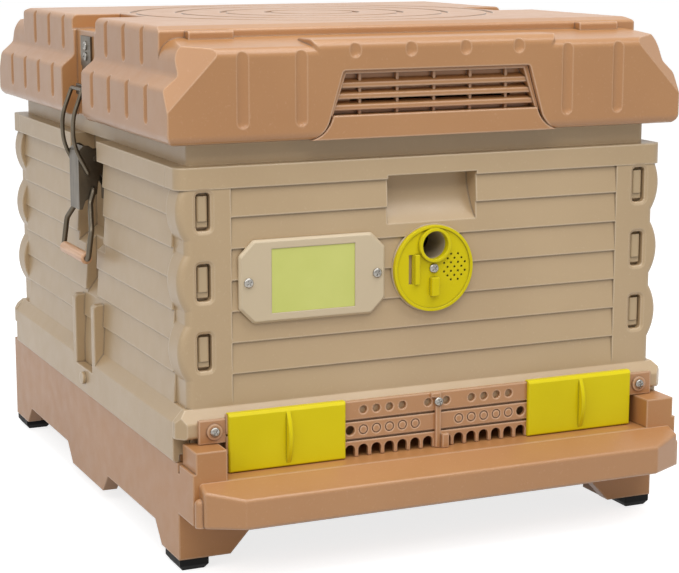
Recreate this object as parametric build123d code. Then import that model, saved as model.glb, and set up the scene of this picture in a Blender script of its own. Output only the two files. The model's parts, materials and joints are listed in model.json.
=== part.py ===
from build123d import *
import os
from math import radians, sqrt, tan

os.makedirs("parts", exist_ok=True)

# Insulated hive: stand, brood body, top feeder and lid, with a latch on each side.
# Millimetres, +Z up, entrance towards -Y. Heights start at the surface under the rubber feet.

# Brood body
side_wall = 42.5          # from the frames' room to a side panel's face
end_wall = 33.5           # from the frames' room to an end panel's face
skin = 6.0                # wall of an outer panel
liner = 6.0               # wall of an inner liner
lap_count = 7             # boards on each face
lap_step = 2.0            # how far each board stands over the next
rim_h = 18.6              # plain band round the top
rim_cover = 2.4           # part of the top board that the rim hides
rim_proud = 4.6           # rim over the side panels
rim_flange = 5.6          # thickness of the shelf that closes the wall's top
skirt_rise = 39.5         # skirt's top above the stand's top
skirt_proud = 9.0         # skirt over the panel's face
skirt_bevel = 11.0        # height of the skirt's sloping top
skirt_inset = 3.0         # gap side of the side skirt, outside the panel's face
skirt_drop = 6.5          # side skirt below the stand's top
skirt_edge = 3.0          # rounded edges of the skirts
front_skirt_h = 24.0      # front skirt from its top to its lower edge
end_rim_proud = 0.5       # rim over the front and rear panels
rim_round = 10.0          # upright corners of the rim
seam = 0.3                # gap between neighbouring panels

# Corner columns with their clip slots
column_w = 43.3           # from the boards' ends to the body's side
column_d = 28.0           # depth round the corner
column_inset = 3.0        # straight edge inside the body's side
column_round = 6.0        # rounded outer edge
bump_proud = 7.0          # scallops over the straight edge
bump_half = 24.0          # half the height of a scallop
clip_count = 3            # slots in each column
clip_top = 18.6           # first slot's centre under the rim
clip_low = 47.3           # last slot's centre above the skirt
slot_w = 13.0
slot_h = 32.0
slot_d = 9.0
slot_round = 3.5
slot_flare = 2.6          # mouth of a slot beyond its sides
slot_flare_d = 1.5
slot_side = 19.0          # slot's centre from the body's side
clip_w = 9.6
clip_h = 26.0
clip_t = 6.0
clip_round = 2.4
clip_ledge = 1.6          # step across the clip's foot
clip_ledge_h = 5.0

# Handholds
hold_w = 86.0
hold_h = 43.0
hold_d = 20.0
hold_lift = 3.0           # top of the handhold above the rim's lower edge
hold_wall = 3.0
hold_bend_d = 12.4        # depth and rise of the middle of the handhold's curve
hold_bend_h = 15.5

# Entrance disc
disc_edge = 4.9           # disc beyond the entrance hole
disc_t = 3.0
disc_gap = 0.3
disc_drop = 98.6          # disc's centre below the rim's top
disc_hole_r = 12.4
disc_hole_gap = 1.5       # collar from the screw's head
disc_rim = 2.6
disc_rim_h = 1.2
disc_collar_h = 4.0       # collar round the entrance hole
disc_bed = 1.0            # plain bed round the disc
disc_screw_r = 2.0
disc_head_gap = 0.4       # under the screw's head
running_gap = 0.05        # radial clearance of a pin that turns
tube_wall = 1.6
slit_out = 22.0           # slit at the disc's left
slit_w = 4.0
slit_h = 26.0
slit_rib_gap = 1.0
slit_rib_w = 4.0
slit_rib_h = 3.5
knob_drop = 16.0          # finger knob below the disc's centre
knob_w = 7.0
knob_h = 16.0
knob_t = 5.0
vent_hole_r = 1.0
vent_hole_out = 20.5      # middle of the air holes at the disc's right
vent_hole_pitch_x = 3.4
vent_hole_pitch_z = 3.8
vent_hole_rows = 2        # rows each way from the middle one

# Number plate
tag_side = 5.45           # plate from the boards' end
tag_near = 8.75           # plate from the disc
tag_h = 71.0
tag_t = 4.0
tag_drop = 98.5           # plate's centre below the rim's top
tag_corner = 13.0
tag_round = 4.0
tag_bevel = 2.0
label_side = 28.75        # label from the plate's ends
label_h = 55.0
label_t = 0.8
label_sink = 1.4
tag_screw_in = 7.95       # screws from the plate's ends

# Latch channel and lower bracket on a side panel
channel_w = 86.0
channel_d = 20.0
channel_h = 105.0         # channel's foot below the rim's top
finger_w = 38.0           # groove for the fingers below the channel
finger_d = 12.0
finger_h = 153.0          # groove's foot below the rim's top
channel_wall = 3.0
channel_slope = 14.0      # rise of their sloping feet
rib_span = 62.0           # between the two ribs of the lower bracket
rib_w = 9.0
rib_low = 19.5            # ribs' foot above the stand's top
rib_gap = 2.6             # ribs' head below the finger groove
boss_lift = 10.0          # boss's middle above the stand's top
boss_r = 6.0
boss_proud = 3.5
boss_root = 1.0

# Latches: distances outward from the side panel's face, heights below the rim's top
bracket_t = 2.0
bracket_w = 24.0
bracket_wing = 8.0        # plate beyond the cheeks
bracket_rise = 8.0        # plate above the pivot
bracket_drop = 14.0       # plate below the bail's pin
cheek_r = 6.0             # cheeks round the pivot
pivot_out = -3.0
pivot_drop = 19.6
pivot_r = 2.5
pivot_end = 1.0           # pin beyond the lever's walls
pivot_seat = 0.02         # pin in the bracket's cheeks
lever_t = 2.0
lever_out = 14.0          # lever's outer face
lever_top_drop = 7.0
lever_brow = 5.0          # slope at the lever's head
lever_tip_drop = 67.0
lever_gap = 1.0           # between the bracket's cheeks and the lever's walls
lever_heel = 6.0          # lever's walls behind the pivot
lever_heel_rise = 4.0
lever_heel_drop = 6.0
lever_seat = 5.0          # walls round the bail's pin
lever_seat_rise = 4.0
lever_nose = 8.0          # taper of the lever's tip
lever_nose_w = 6.0
lever_nose_end = 3.0
wire_r = 2.0
wire_gap = 0.3            # wire beside the lever
wire_bend = 2.6           # tight bends of the loop, at its middle line
wire_end = 0.3            # wires' ends inside the lever's walls
loop_pin_out = 5.0
loop_pin_drop = 33.6
loop_bow = 19.0
loop_bow_drop = 12.0      # straight part of the bow below and above its middle
loop_bow_rise = 14.0
loop_hook_out = 9.0
loop_hook_rise = 45.5     # crossbar above the rim's top
bail_r = 2.6
bail_turn = 3.3           # tight bends of the bail, at its middle line
bail_pin_out = 0.5
bail_pin_drop = 48.0
bail_grip_out = 14.5
bail_grip_drop = 110.0
grip_r = 5.5
grip_l = 74.0
grip_round = 1.5
grip_end = 4.5            # bail's corners beyond the grip's ends
bail_lean = 4.0           # how far the bail's straight runs lean out
bail_drop = 13.0          # from the bail's pin to where its legs part
bail_flare = 21.0         # height over which they part
loop_bend = 50.0
bail_bend = 8.0
hook_gap = 0.5            # crossbar clear of the catch

# Entrance strip and its sliding gates
strip_t = 4.0
strip_web = 2.0           # wall behind the strip's bars
strip_in = 8.0            # strip's ends inside the body's sides
strip_lift = 0.4          # strip above the landing
bar_high = 16.5
bar_mid = 15.0
bar_low = 14.1
bar_gap = 2.0
arch_count = 7
arch_first = 9.0          # first arch from the middle
arch_pitch = 12.5
arch_w = 9.6
arch_h = 10.6
hole_r = 3.6              # holes through the upper bar
ring_r = 4.3              # rings on the middle bar
ring_line = 0.9
ring_sink = 1.0
tab_w = 24.0
tab_t = 3.0
tab_boss = 2.6            # boss round the tab's screw
tab_rise = 1.0            # boss over the strip's bars
tab_h = 20.5
tab_drop = 3.0            # tabs' tops below the strip's top
tab_screw_in = 13.5       # tab's screw from the strip's end
post_half = 2.5           # centre post
post_t = 2.5
post_head = 7.0           # arm at its head
post_head_h = 4.0
post_step = 8.8           # tab at its foot
post_step_t = 6.0
post_step_h = 12.5
gate_w = 107.0
gate_end = 8.0            # gates from the posts
gate_t = 4.0
gate_gap = 0.3
gate_rib_w = 3.6
gate_rib_bow = 6.5
gate_rib_foot = 3.0
gate_rib_head = 3.0
gate_bevel = 1.0
gate_slope = 2.5          # slope along the gate's top
gate_lip_t = 1.2          # lip that hooks over the strip's top
gate_lip_back = 1.0

# Stand
stand_h = 92.5            # from the feet's top to the stand's top
stand_out = 5.5           # stand's sides outside the body's sides
stand_front_in = 4.0      # stand's front inside the front panel's face
stand_rear_out = 18.0     # stand's rear outside the rear panel's face
stand_wall = 14.0
stand_step = 7.0          # height of the lip inside the side skirts
stand_lip_gap = 0.7       # lip inside the side skirts
stand_lip_in = 4.0        # lip behind the stand's front
leg_w = 45.5
arch_rise = 18.7          # height of the gaps between the legs
arch_slant = 18.0
mid_leg = 101.0           # middle leg of each side
foot_h = 10.5
foot_collar = 6.0         # straight part of a foot, above its bevel
foot_w = 26.0
foot_l = 38.0
foot_inset = 0.7
foot_taper = 3.2
deck_t = 8.0              # flange that carries the walls
sill_d = 37.5             # sill in front of the stand
post_in = 3.0             # posts' outer sides inside the stand's sides
post_w = 27.5             # posts beside the gates
post_gap = 0.5            # posts in front of the front panel
entrance_h = 15.0
post_rise = 11.0          # posts beside the gates, above the stand's top
board_d = 28.5            # landing board, front to rear
board_in = 5.5            # board's ends inside the stand's sides
board_t = 25.5
board_fall = 10.5
board_corner_x = 30.6
board_corner_y = 15.8
board_wall = 5.0
board_edge = 3.0          # rounded edges
lug_r = 4.6               # half-round lugs at the board's ends
lug_rise = 20.0

# Floor: screen and tray
screen_t = 4.0
screen_play = 0.5
screen_nx = 12
screen_ny = 18
screen_bar = 4.0          # between the screen's holes
screen_side = 3.0         # plain border beside the ledges
screen_end = 6.0          # plain border at the front and rear
ledge = 7.0
tray_h = 10.0
tray_wall = 2.0
tray_drop = 14.0          # tray's top below the screen
tray_play = 2.0
tray_front = 4.0          # tray's front behind the front liner's face
tray_handle = 8.0         # thick rear wall

# Frames
frame_count = 10
frame_pitch = 35.0
frame_side = 12.5         # beside the outermost frames
frame_l = 451.0           # over the end bars
frame_h = 232.0
frame_foot = 2.0          # bottom bars above the stand's top
bar_space = 8.6           # top bars below the rim's top
top_bar_w = 27.0
top_bar_h = 19.0
lug_h = 9.5
lug_rest = 8.0            # how far a lug lies over the wall
lug_play = 3.5            # beyond the lug's end
end_bar_t = 6.0
end_bar_w = 24.0
spacer_w = 34.7
spacer_h = 70.0
bottom_bar_w = 18.0
bottom_bar_h = 9.0
sheet_t = 3.0
frame_play = 7.0          # end bars clear of the liners
rest_t = 1.5

# Feeder
neck_inset_x = 13.6       # feeder's band inside the rim, at the sides
neck_inset_y = 9.5        # and at the front and rear
neck_h = 18.0
neck_round = 6.0
feeder_wall = 4.0
feeder_inset = 11.0       # upper walls inside the band
feeder_h = 46.0
chimney_w = 44.0
chimney_l = 120.0
chimney_wall = 4.0
chimney_h = 38.0
cap_play = 10.0
cap_wall = 2.5
cap_gap = 3.0             # cap's edge above the feeder's floor

# Lid
lid_out = 14.5            # lid's sides outside the body's sides
lid_over = 10.0           # lid's ends outside the end panels' faces
tier_inset = 13.0         # upper tier inside the lower one
lower_tier = 46.0         # lower tier's height, to the shoulder
shoulder = 11.0
deck_h = 94.5             # deck above the lid's lower edge
parapet_h = 78.4          # front and rear parapets above the lid's lower edge
parapet_d = 71.0          # deck's ends behind the lid's front and rear
valley_rise = 6.5         # rise of the top from the parapets to the deck
deck_riser = 6.5          # upright part of the deck's ends
deck_slope = 13.0         # sloping part above it
deck_edge = 3.0
deck_round = 6.0          # rounded edges along the deck's sides
parapet_round = 18.0      # rounded edges at the parapets' sides
tier_edge = 6.0
lid_wall = 4.0
lid_drop = 0.5            # share of the wall by which the inside's shoulder drops
lid_round = 10.0          # rounded lower edges along the sides
end_round = 8.5           # rounded edges along the front and rear
facet_x = 48.5            # corner facets: along the parapet,
facet_y = 22.0            # along the side
facet_z = 44.0            # and down the corner
facet_foot = 6.0          # facet's lowest point from the lid's side
facet_blank = 300.0
notch_w = 68.0
notch_in = 2.0            # floor of the latch notch inside the body's side
saddle_h = 13.5
saddle_d = 45.0
saddle_side = 5.0         # saddle beyond the notch's sides
side_groove_w = 10.5
side_groove_d = 2.6
side_groove_first = 70.0
side_groove_pitch = 51.6
side_groove_shift = 4.0   # lower grooves nearer the notch than the upper ones
side_groove_high = 3.0    # upper grooves' foot above the shoulder
side_groove_low = 14.5    # lower grooves' foot above the lid's lower edge
side_groove_over = 2.0
upper_grooves = 3         # on each side of the notch
lower_grooves = 4
end_groove_w = 10.5
end_groove_d = 2.0
end_groove_first = 127.0
end_groove_pitch = 52.0
end_groove_low = 13.0     # grooves' foot above the lid's lower edge
end_groove_count = 2
pad_in = 168.0            # pads in front of the deck's ends
pad_out = 208.0
pad_d = 9.0
pad_h = 12.5
pad_edge = 2.5
hood_half = 116.0
hood_h = 6.0
hood_d = 36.0
hood_low = 3.0            # hood's front edge above the vent
hood_front = 9.0          # rounded edges of the hood
hood_back = 5.0
hood_end = 7.0
hood_groove_h = 16.0
vent_half_top = 89.0
vent_half_low = 101.0
vent_top = 58.0           # above the lid's lower edge
vent_low = 18.5
vent_flare = 24.0         # round at the foot of the vent's opening
vent_edge = 3.0
vent_sink = 11.0
vent_back = 3.0           # grille behind the slats' middle
vent_plate = 2.0          # plate behind the slats
vent_frame = 4.0          # border round the slats
vent_sill = 2.0
vent_head = 3.0
louvre_count = 3
louvre_t = 4.2
louvre_d = 8.0
louvre_fall = 3.0
mullion_pitch = 35.0
mullion_count = 5
mullion_t = 2.4
mullion_d = 5.0
apron_gap = 2.6
apron_sink = 1.0
apron_t = 4.0
apron_lift = 0.5          # apron above the lid's lower edge
duct_in = 12.0            # air duct inside the vent's sides
duct_rise = 8.0
duct_h = 14.0
room_side = 4.0
lining_t = 3.0
lining_play = 2.0
ring_step = 43.5          # spacing of the rings on the deck
ring_count = 4
ring_w = 7.0
ring_d = 1.2
catch_w = 31.0
catch_t = 2.0
catch_h = 28.0
catch_rise = 48.0         # plate's foot above the lid's lower edge
catch_edge = 9.0          # screws from the plate's ends
arm_in = 3.0              # catch's arm inside the plate's sides
arm_drop = 9.0            # arm's foot below the crossbar
claw_t = 2.0
claw_drop = 6.0           # claw's foot below the crossbar
claw_rise = 4.0           # claw's tip above the crossbar

# Screws
screw_head_r = 4.2
screw_head_h = 2.2
screw_r = 1.8
screw_l = 10.0

past = 10.0               # blanks run this far past what they shape
over = 1.0                # cutters run this far past a face

# Levels and lines that follow from the sizes above
cavity_w = frame_count * frame_pitch + 2 * frame_side
cavity_l = frame_l + 2 * frame_play
cavity_h = frame_foot + frame_h + bar_space
half_w = cavity_w / 2 + side_wall
half_l = cavity_l / 2 + end_wall
stand_top = foot_h + stand_h
rim_top = stand_top + cavity_h
rim_low = rim_top - rim_h
skirt_top = stand_top + skirt_rise
lap_pitch = (rim_low + rim_cover - skirt_top) / lap_count
board_x = half_w - column_w
column_out = half_w - column_inset
liner_x = cavity_w / 2
liner_y = cavity_l / 2
side_half = half_l - column_d - seam
skirt_half = half_l - skin - seam
rebate_y = liner_y + lug_rest + lug_play
rest_z = rim_top - bar_space - lug_h
landing = stand_top - entrance_h
disc_z = rim_top - disc_drop
tag_z = rim_top - tag_drop
disc_hole_rise = screw_head_r + disc_hole_gap + disc_rim + disc_hole_r
disc_r = disc_hole_rise + disc_hole_r + disc_edge
tag_w = board_x - disc_r - tag_side - tag_near
tag_x = -(disc_r + tag_near + tag_w / 2)
label_w = tag_w - 2 * label_side
tag_screw_span = tag_w - 2 * tag_screw_in
clip_pitch = (rim_low - clip_top - skirt_top - clip_low) / (clip_count - 1)
clip_z = [rim_low - clip_top - clip_pitch * i for i in range(clip_count)]
slot_x = half_w - slot_side
strip_low = landing + strip_lift
strip_y = half_l + skirt_proud
strip_half = half_w - strip_in
tab_screw = strip_half - tab_screw_in
stand_front = half_l - stand_front_in
stand_rear = half_l + stand_rear_out
stand_x = half_w + stand_out
entrance_half = stand_x - post_in - post_w
board_half = stand_x - board_in
gate_in = entrance_half - gate_end - gate_w
neck_x = half_w + rim_proud - neck_inset_x
neck_y = half_l - neck_inset_y
lid_low = rim_top + neck_h
lid_x = half_w + lid_out
lid_y = half_l + lid_over
tier_x = lid_x - tier_inset
notch_x = half_w - notch_in
deck_half = lid_y - parapet_d
deck_top = lid_low + deck_h
parapet_top = lid_low + parapet_h
middle_shift = (stand_front + sill_d + board_d - stand_rear) / 2


def block(x0, x1, y0, y1, z0, z1):
    centre = Pos((x0 + x1) / 2, (y0 + y1) / 2, (z0 + z1) / 2)
    return centre * Box(abs(x1 - x0), abs(y1 - y0), abs(z1 - z0))


def outline(points, radii=None):
    if radii is None:
        return make_face(Polyline(*points, close=True))
    return make_face(FilletPolyline(*points, radius=radii, close=True))


def along_x(points, x0, x1, radii=None):
    face = outline([(x0, a, b) for a, b in points], radii)
    return extrude(face, amount=x1 - x0, dir=(1, 0, 0))


def along_y(points, y0, y1, radii=None):
    face = outline([(a, y0, b) for a, b in points], radii)
    return extrude(face, amount=y1 - y0, dir=(0, 1, 0))


def along_z(points, z0, z1, radii=None):
    face = outline([(a, b, z0) for a, b in points], radii)
    return extrude(face, amount=z1 - z0, dir=(0, 0, 1))


def rod(start, end, radius):
    axis = Vector(*end) - Vector(*start)
    return extrude(Plane(origin=start, z_dir=axis) * Circle(radius), amount=axis.length)


def wire(points, radii, radius):
    path = FilletPolyline(*points, radius=radii)
    return sweep(Plane(origin=path @ 0, z_dir=path % 0) * Circle(radius), path=path)


def flip_x(shape):
    return mirror(shape, about=Plane.YZ)


def flip_y(shape):
    return mirror(shape, about=Plane.XZ)


def half_turn(shape):
    return Rot(0, 0, 180) * shape


def save(name, *shapes):
    whole = shapes[0] if len(shapes) == 1 else Compound(list(shapes))
    export_step(Pos(0, middle_shift, 0) * whole, f"parts/{name}.step")


# Places measured outward from the left panel's face, or from the front panel's face
def left_x(out):
    return -(half_w + out)


def front_y(out):
    return -(half_l + out)


def left_block(out0, out1, y0, y1, z0, z1):
    return block(left_x(out1), left_x(out0), y0, y1, z0, z1)


def front_block(x0, x1, out0, out1, z0, z1):
    return block(x0, x1, front_y(out1), front_y(out0), z0, z1)


def left_prism(points, y0, y1, radii=None):
    return along_y([(left_x(out), z) for out, z in points], y0, y1, radii)


def front_prism(points, x0, x1, radii=None):
    return along_x([(front_y(out), z) for out, z in points], x0, x1, radii)


def screw(x, y, z, direction):
    top = (x + direction[0] * screw_head_h, y + direction[1] * screw_head_h, z)
    return rod((x, y, z), top, screw_head_r) + screw_shank(x, y, z, direction, screw_r, screw_l)


def screw_shank(x, y, z, direction, radius, length):
    return rod((x, y, z), (x - direction[0] * length, y - direction[1] * length, z), radius)


def screw_hole(x, y, z, direction):
    return screw_shank(x, y, z, direction, screw_r + running_gap, screw_l + running_gap)


# Outer panels: lapped boards, a plain rim above and a flared skirt below
def lap_points():
    points = [(-skin, rim_low), (-lap_step, rim_low)]
    for board in range(1, lap_count):
        low = rim_low + rim_cover - board * lap_pitch
        points += [(0, low), (-lap_step, low)]
    return points + [(0, skirt_top), (-skin, skirt_top)]


def rim_points(proud, flange_in):
    shelf = rim_top - rim_flange
    return [(proud, rim_top), (proud, rim_low), (-skin, rim_low), (-skin, shelf),
            (-flange_in, shelf), (-flange_in, rim_top)]


side_flange = half_w - liner_x - liner
end_flange = half_l - rebate_y
side_skirt_points = [(-skin, skirt_top), (0, skirt_top), (skirt_proud, skirt_top - skirt_bevel),
                     (skirt_proud, stand_top - skirt_drop), (skirt_inset, stand_top - skirt_drop),
                     (skirt_inset, stand_top), (-skin, stand_top)]
end_skirt_points = [(-skin, skirt_top), (0, skirt_top), (skirt_proud, skirt_top - skirt_bevel),
                    (skirt_proud, skirt_top - front_skirt_h), (0, skirt_top - front_skirt_h),
                    (0, stand_top), (-skin, stand_top)]
skirt_radii = [0, 0, skirt_edge, skirt_edge, 0, 0, 0]


pockets = [(channel_w, channel_d, channel_h), (finger_w, finger_d, finger_h)]


def pocket_block(width, depth, height, out):
    half = width / 2 + channel_wall
    return left_block(-depth - channel_wall, out, -half, half, rim_top - height - channel_wall, rim_top)


def left_panel():
    panel = left_prism(lap_points(), -side_half, side_half)
    panel += left_prism(rim_points(rim_proud, side_flange), -side_half, side_half)
    panel += left_prism(side_skirt_points, -skirt_half, skirt_half, skirt_radii)
    for pocket in pockets:
        panel += pocket_block(*pocket, -lap_step)
    for width, depth, height in pockets:
        low = rim_top - height
        groove = [(skirt_proud, rim_top + over), (-depth, rim_top + over), (-depth, low + channel_slope),
                  (-lap_step, low), (skirt_proud, low)]
        panel -= left_prism(groove, -width / 2, width / 2)
    rib_in = rib_span / 2 - rib_w / 2
    rib_high = cavity_h - finger_h - rib_gap
    panel -= left_block(0, skirt_proud + over, -rib_in, rib_in, stand_top + rib_low, skirt_top)
    for side in (-1, 1):
        rib = [(-lap_step, stand_top + rib_low), (skirt_proud, stand_top + rib_low),
               (skirt_proud, stand_top + rib_high), (-lap_step, stand_top + rib_high)]
        middle = side * rib_span / 2
        panel += left_prism(rib, middle - rib_w / 2, middle + rib_w / 2, [0, 0, rib_w / 2, 0])
    boss_z = stand_top + boss_lift
    root, tip = left_x(skirt_proud - boss_root), left_x(skirt_proud + boss_proud)
    return panel + rod((root, 0, boss_z), (tip, 0, boss_z), boss_r)


def handhold_scoop():
    top = rim_low + hold_lift
    low = top - hold_h
    curve = ThreePointArc((0, front_y(0), low), (0, front_y(-hold_bend_d), low + hold_bend_h),
                          (0, front_y(-hold_d), top))
    rest = Polyline((0, front_y(-hold_d), top), (0, front_y(skirt_proud), top),
                    (0, front_y(skirt_proud), low), (0, front_y(0), low))
    face = make_face(Curve() + [curve, rest])
    return extrude(face, amount=hold_w / 2, dir=(1, 0, 0), both=True)


def front_corner(shape):
    return shape.edges().filter_by(Axis.Z).sort_by(lambda edge: edge.center().X - edge.center().Y)[-1]


def corner_column():
    inner = column_out - column_round
    post = front_block(liner_x + liner, column_out, -column_d, 0, skirt_top, rim_low)
    post = fillet(front_corner(post), column_round)
    post += front_block(board_x, inner, -skin, 0, skirt_top, rim_low)
    bump_r = (bump_half ** 2 + bump_proud ** 2) / (2 * bump_proud)
    bump_x = column_out + bump_proud - bump_r
    for z in clip_z:
        bump = rod((bump_x, front_y(0), z), (bump_x, front_y(-column_d), z), bump_r)
        bump = fillet(bump.edges().filter_by(GeomType.CIRCLE).sort_by(Axis.Y)[0], column_round)
        post += bump & front_block(inner - over, column_out + bump_r, -column_d, 0, z - bump_r, z + bump_r)
    return post


def slot_outline(z, out, grow):
    plane = Plane(origin=(slot_x, front_y(out), z), x_dir=(1, 0, 0), z_dir=(0, 1, 0))
    return plane * RectangleRounded(slot_w + 2 * grow, slot_h + 2 * grow, slot_round + grow)


def clip_slot(z):
    inside = slot_outline(z, -slot_flare_d, 0)
    mouth = slot_outline(z, over, slot_flare * (slot_flare_d + over) / slot_flare_d)
    return extrude(inside, amount=slot_d - slot_flare_d, dir=(0, 1, 0)) + loft([inside, mouth])


def end_panel(with_disc):
    rim_side = half_w + rim_proud
    panel = front_prism(lap_points(), -board_x, board_x)
    straight = rim_side - rim_round
    panel += front_prism(rim_points(end_rim_proud, end_flange), -straight, straight)
    corner = front_block(liner_x + liner, rim_side, -column_d, end_rim_proud, rim_low, rim_top)
    post = corner_column() + fillet(front_corner(corner), rim_round)
    panel += post
    panel += flip_x(post)
    skirt_x = half_w + skirt_proud
    skirt = front_prism(end_skirt_points, -skirt_x, skirt_x, skirt_radii)
    low = stand_top - over
    clear = skirt_top - front_skirt_h
    edge_x, edge_y = skirt_x + over, front_y(skirt_proud + over)
    cut = front_block(half_w - skin - seam, edge_x, -skin - over, skirt_proud, low, clear)
    corner_cut = along_z([(edge_x, edge_y), (skirt_x - skirt_proud, edge_y), (edge_x, front_y(-over))],
                         low, skirt_top + over)
    slope = along_y([(edge_x, skirt_top + over), (half_w - over, skirt_top + over),
                     (edge_x, skirt_top - skirt_bevel)], edge_y, front_y(-skin - over))
    for piece in (cut, corner_cut, slope):
        skirt -= piece
        skirt -= flip_x(piece)
    panel += skirt
    hold_top = rim_low + hold_lift
    panel += front_block(-hold_w / 2 - hold_wall, hold_w / 2 + hold_wall, -hold_d - hold_wall, -lap_step,
                         hold_top - hold_h - hold_wall, hold_top + hold_wall)
    panel -= handhold_scoop()
    for z in clip_z:
        pocket = clip_slot(z)
        panel -= pocket
        panel -= flip_x(pocket)
    if with_disc:
        for place in tag_screw_places() + strip_screw_places():
            panel -= screw_hole(*place)
        panel += rod((0, front_y(-skin), disc_z), (0, front_y(0), disc_z), disc_r + disc_bed)
        panel -= disc_bore()
        panel -= disc_screw_bore()
    return panel


def corner_clips():
    clips = []
    for z in clip_z:
        low, top = z - clip_h / 2, z + clip_h / 2
        clip = front_block(slot_x - clip_w / 2, slot_x + clip_w / 2, -slot_d, clip_t - slot_d, low, top)
        clip = fillet(clip.edges().filter_by(Axis.Z), clip_round)
        clip -= front_block(slot_x - clip_w, slot_x + clip_w, clip_t - slot_d - clip_ledge, 0,
                            low - over, low + clip_ledge_h)
        clips += [clip, flip_x(clip), flip_y(clip), half_turn(clip)]
    return clips


# Inner liners and the insulation between them and the outer panels
def side_liner():
    reach = liner_y + liner
    return block(-liner_x - liner, -liner_x, -reach, reach, stand_top, rim_top - rim_flange)


def end_liner(with_disc):
    wall = block(-liner_x, liner_x, -liner_y - liner, -liner_y, stand_top, rest_z - rest_t)
    return wall - disc_bore() if with_disc else wall


def disc_bore():
    hole_z = disc_z + disc_hole_rise
    return rod((0, front_y(over), hole_z), (0, -liner_y + over, hole_z), disc_hole_r + tube_wall)


def disc_screw_bore():
    return rod((0, front_y(over), disc_z), (0, -liner_y, disc_z), disc_screw_r + running_gap)


def side_insulation():
    slab = block(-half_w + skin, -liner_x - liner, -side_half, side_half, stand_top, rim_top - rim_flange)
    for pocket in pockets:
        slab -= pocket_block(*pocket, 0)
    return slab


def end_insulation(with_disc):
    reach = liner_x + liner
    slab = block(-reach, reach, front_y(-skin), -liner_y - liner, stand_top, rim_top - rim_flange)
    slab -= block(-reach, reach, -rebate_y, -liner_y, rest_z - rest_t, rim_top)
    hold_top = rim_low + hold_lift
    slab -= front_block(-hold_w / 2 - hold_wall, hold_w / 2 + hold_wall, -hold_d - hold_wall, 0,
                        hold_top - hold_h - hold_wall, hold_top + hold_wall)
    if with_disc:
        slab -= disc_bore()
        slab -= disc_screw_bore()
    return slab


def frame_rest():
    return block(-liner_x, liner_x, -liner_y - liner, -liner_y, rest_z - rest_t, rest_z)


# Frames: one-piece mouldings with the comb sheet between their bars
def frame_at(x):
    top = rim_top - bar_space
    low = top - frame_h
    end = frame_l / 2
    tip = liner_y + lug_rest
    bar = block(x - top_bar_w / 2, x + top_bar_w / 2, -end, end, top - top_bar_h, top)
    bar += block(x - top_bar_w / 2, x + top_bar_w / 2, -tip, tip, top - lug_h, top)
    bar += block(x - bottom_bar_w / 2, x + bottom_bar_w / 2, -end, end, low, low + bottom_bar_h)
    bar += block(x - sheet_t / 2, x + sheet_t / 2, -end, end, low, top)
    for side in (-1, 1):
        y0, y1 = sorted((side * end, side * (end - end_bar_t)))
        bar += block(x - end_bar_w / 2, x + end_bar_w / 2, y0, y1, low, top - lug_h)
        bar += block(x - spacer_w / 2, x + spacer_w / 2, y0, y1, top - lug_h - spacer_h, top - lug_h)
    return bar


# Entrance disc, its tube and its screw
def disc_rod(z, out0, out1, radius):
    return rod((0, front_y(out0), z), (0, front_y(out1), z), radius)


def entrance_disc():
    back = disc_gap
    front = back + disc_t
    lip = front + disc_rim_h
    hole_z = disc_z + disc_hole_rise
    disc = disc_rod(disc_z, back, lip, disc_r) - disc_rod(disc_z, front, lip + over, disc_r - disc_rim)
    collar = front + disc_collar_h
    disc += disc_rod(hole_z, front, collar, disc_hole_r + disc_rim) & disc_rod(disc_z, front, collar, disc_r)
    disc -= disc_rod(hole_z, 0, collar + over, disc_hole_r)
    rib_x = -slit_out + slit_w / 2 + slit_rib_gap
    disc += front_block(rib_x, rib_x + slit_rib_w, front, front + slit_rib_h,
                        disc_z - slit_h / 2, disc_z + slit_h / 2)
    disc -= front_block(-slit_out - slit_w / 2, -slit_out + slit_w / 2, 0, front + over,
                        disc_z - slit_h / 2, disc_z + slit_h / 2)
    knob_z = disc_z - knob_drop
    disc += front_block(-knob_w / 2, knob_w / 2, front, front + knob_t,
                        knob_z - knob_h / 2, knob_z + knob_h / 2)
    steps = range(-vent_hole_rows, vent_hole_rows + 1)
    for across in steps:
        for up in steps:
            x = vent_hole_out + (across + up) * vent_hole_pitch_x
            z = disc_z + (up - across) * vent_hole_pitch_z
            if max(abs(across + up), abs(up - across)) < 2 * vent_hole_rows:
                disc -= rod((x, front_y(0), z), (x, front_y(front + over), z), vent_hole_r)
    return disc - disc_rod(disc_z, 0, front + over, disc_screw_r + running_gap)


def disc_screw():
    front = disc_gap + disc_t + disc_head_gap
    shank = disc_rod(disc_z, front, -skin - screw_l, disc_screw_r)
    return shank + disc_rod(disc_z, front, front + screw_head_h, screw_head_r)


def disc_tube():
    hole_z = disc_z + disc_hole_rise
    ends = ((0, front_y(0), hole_z), (0, -liner_y, hole_z))
    return rod(*ends, disc_hole_r + tube_wall) - rod(*ends, disc_hole_r)


# Number plate with its label
def tag_corners(width, height, cut):
    x0, x1 = tag_x - width / 2, tag_x + width / 2
    z0, z1 = tag_z - height / 2, tag_z + height / 2
    return [(x0 + cut, z0), (x1 - cut, z0), (x1, z0 + cut), (x1, z1 - cut),
            (x1 - cut, z1), (x0 + cut, z1), (x0, z1 - cut), (x0, z0 + cut)]


def tag_plate():
    corners = tag_corners(tag_w, tag_h, tag_corner)
    plate = along_y(corners, front_y(tag_t), front_y(0), [tag_round] * len(corners))
    plate = chamfer(plate.faces().sort_by(Axis.Y)[0].edges(), tag_bevel)
    plate -= front_block(tag_x - label_w / 2, tag_x + label_w / 2, tag_t - label_sink, tag_t + over,
                         tag_z - label_h / 2, tag_z + label_h / 2)
    for place in tag_screw_places():
        plate -= screw_hole(*place)
    return plate


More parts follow.
